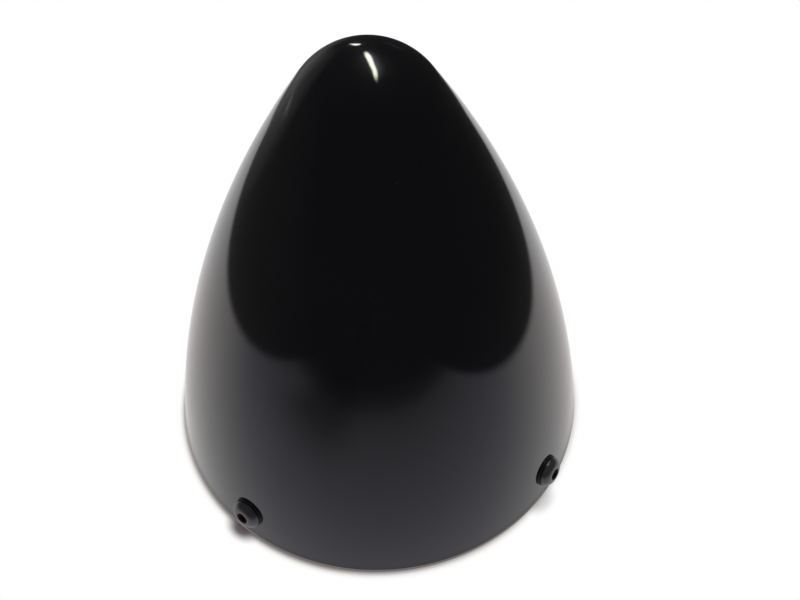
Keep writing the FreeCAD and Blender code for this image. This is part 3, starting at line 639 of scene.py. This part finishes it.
def smooth_path(path, parts):
    """Points of a smooth curve through the rows of numbers in `path`."""
    rows = [path[0]] + path + [path[-1]]
    points = []
    for a, b, c, d in zip(rows, rows[1:], rows[2:], rows[3:]):
        for t in (k / parts for k in range(parts)):
            points.append([0.5 * (2 * q + (r - p) * t + (2 * p - 5 * q + 4 * r - s) * t * t
                                  + (3 * q - p - 3 * r + s) * t ** 3) for p, q, r, s in zip(a, b, c, d)])
    return points + [list(path[-1])]


def skin_strip(bm, rows):
    """Join rows of vertices, all of one length, into an open sheet."""
    for low, high in zip(rows, rows[1:]):
        for corners in zip(low, low[1:], high[1:], high):
            bm.faces.new(corners)


def lamp_strip(name, colour, profile, path):
    """A glowing strip hung round the nose, which adds its light to what is behind it. Each row of the
    path gives its direction (azimuth, elevation), its width in degrees and its brightness."""
    material, tree, output = new_material(f"{name}_glow")
    level = add(tree, "Attribute", attribute_name="brightness")
    glow = add(tree, "Emission", {"Color": linear(colour), "Strength": level.outputs["Fac"]})
    through = add(tree, "BsdfTransparent")
    both = add(tree, "AddShader", {0: glow.outputs["Emission"], 1: through.outputs["BSDF"]})
    tree.links.new(both.outputs["Shader"], output.inputs["Surface"])
    steps = smooth_path(path, 6)
    ways = [toward(azimuth, elevation) for azimuth, elevation, _, _ in steps]
    bm = bmesh.new()
    shine = bm.verts.layers.float.new("brightness")
    rows = []
    for i, (way, (_, _, width, brightness)) in enumerate(zip(ways, steps)):
        before, after = ways[max(i - 1, 0)], ways[min(i + 1, len(ways) - 1)]
        across = way.cross(after - before).normalized() * math.tan(math.radians(width / 2))
        row = []
        for place, share in profile:
            vertex = bm.verts.new((way + across * place) * LAMP_REACH + LAMP_CENTRE)
            vertex[shine] = brightness * share
            row.append(vertex)
        rows.append(row)
    skin_strip(bm, rows)
    stage_object(name, bm, material).visible_camera = False


white_table()
dark_room()
lamp_strip("ceiling_tube", "#fbffe6", TUBE, [
    (182.0, 34.0, 3.0, 0.3), (181.0, 37.2, 4.6, 10), (178.4, 44.2, 6.4, 22), (174.5, 52.1, 6.6, 22),
    (169.1, 59.2, 6.6, 22), (160.3, 65.4, 6.6, 22), (149.4, 70.9, 6.2, 20), (136.0, 74.7, 5.4, 9),
    (120.0, 76.7, 4.0, 1.6), (102.0, 77.5, 2.6, 0)])
lamp_strip("tube_haze", "#dfe6ff", SOFT, [
    (182, 30, 8, 0), (177, 43, 19, 1.1), (171.5, 51.5, 22, 1.6), (164, 58, 22, 1.5), (152, 64.5, 20, 1.0),
    (128, 72, 14, 0)])
# the edge of a painted door that catches the light
lamp_strip("door_edge", "#fff6ea", SOFT, [
    (241, -9.5, 2.5, 0), (235, -12, 3, 0.22), (229.5, -13.6, 3.4, 0.5), (223.5, -12.5, 3, 0.24),
    (219, -2, 3, 0.16), (215, 7, 3, 0.1), (207, 12, 3, 0)])
lamp_strip("far_screen", "#cfc8ff", SOFT, [
    (157, 5, 3, 0), (162, 5, 6, 0.16), (168, 5, 6, 0.2), (175, 4, 3, 0)])
lamp_strip("far_window", "#ffffff", EVEN, [
    (190.8, 9.0, 1.0, 2), (189.4, 12.2, 2.0, 7), (187.6, 14.8, 3.8, 10), (186.5, 16.3, 3.6, 8),
    (185.6, 18.2, 1.6, 1.5)])

world = bpy.data.worlds.new("white_studio")
scene.world = world
world.use_nodes = True
tree = world.node_tree
tree.nodes.clear()
strength = add(tree, "MapRange", {"Value": seen_or_mirrored(tree), "To Min": 0.65, "To Max": 1.0})
sky = add(tree, "Background", {"Color": (1, 1, 1, 1), "Strength": strength.outputs["Result"]})
tree.links.new(sky.outputs["Background"], add(tree, "OutputWorld").inputs["Surface"])

bpy.context.view_layer.update()
